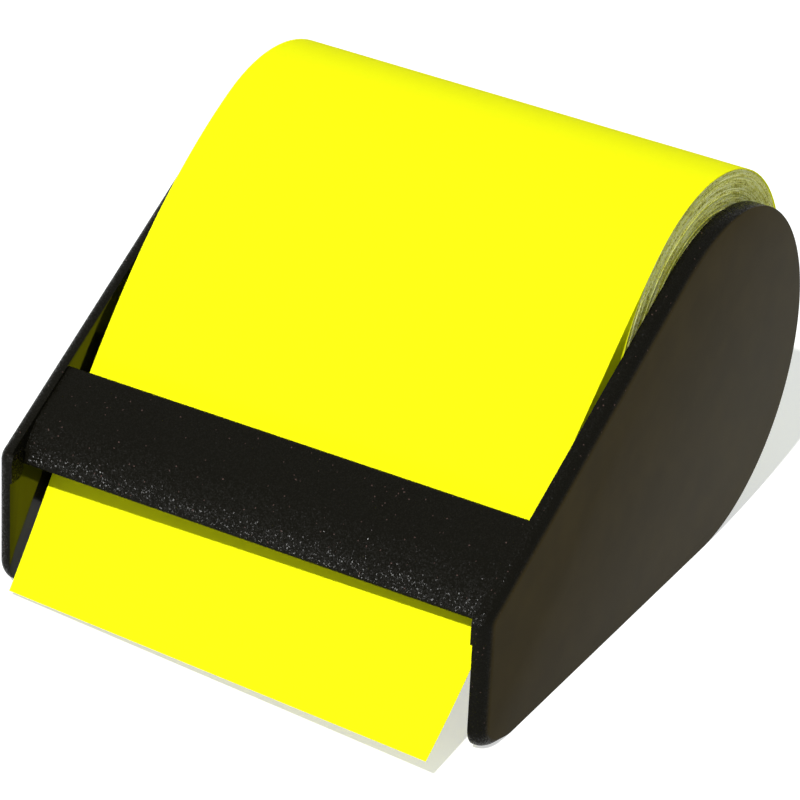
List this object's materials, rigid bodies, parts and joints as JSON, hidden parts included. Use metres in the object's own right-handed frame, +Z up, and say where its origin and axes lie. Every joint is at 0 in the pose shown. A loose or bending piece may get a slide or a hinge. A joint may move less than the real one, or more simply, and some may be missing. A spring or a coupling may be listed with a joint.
{
  "type": "sticky note roll dispenser",
  "caption": "Black moulded desk dispenser holding a wide roll of bright yellow sticky note paper that turns on hub pegs and feeds out under a front bar",
  "frame": {"origin": "on the desk, under the hub axis and midway between the cheeks, in the rest face", "axes": "+X along the hub axis to the right, +Y to the back, +Z up; the paper leaves towards -Y"},
  "size_m": [0.0654, 0.0844, 0.0488],
  "materials": {
    "moulded_plastic": "black, satin, moulded",
    "note_paper": "fluorescent yellow, matt",
    "core_board": "wound grey-brown board"
  },
  "bodies": {
    "dispenser": {"dispenser_body": "moulded_plastic", "drawn_sheet": "note_paper"},
    "roll": {"roll_core": "core_board", "note_roll": "note_paper"}
  },
  "joints": [
    {"name": "roll_spin", "type": "hinge", "parent": "dispenser", "child": "roll", "pos_m": [0, 0, 0.0277], "axis": [1, 0, 0], "continuous": true}
  ]
}
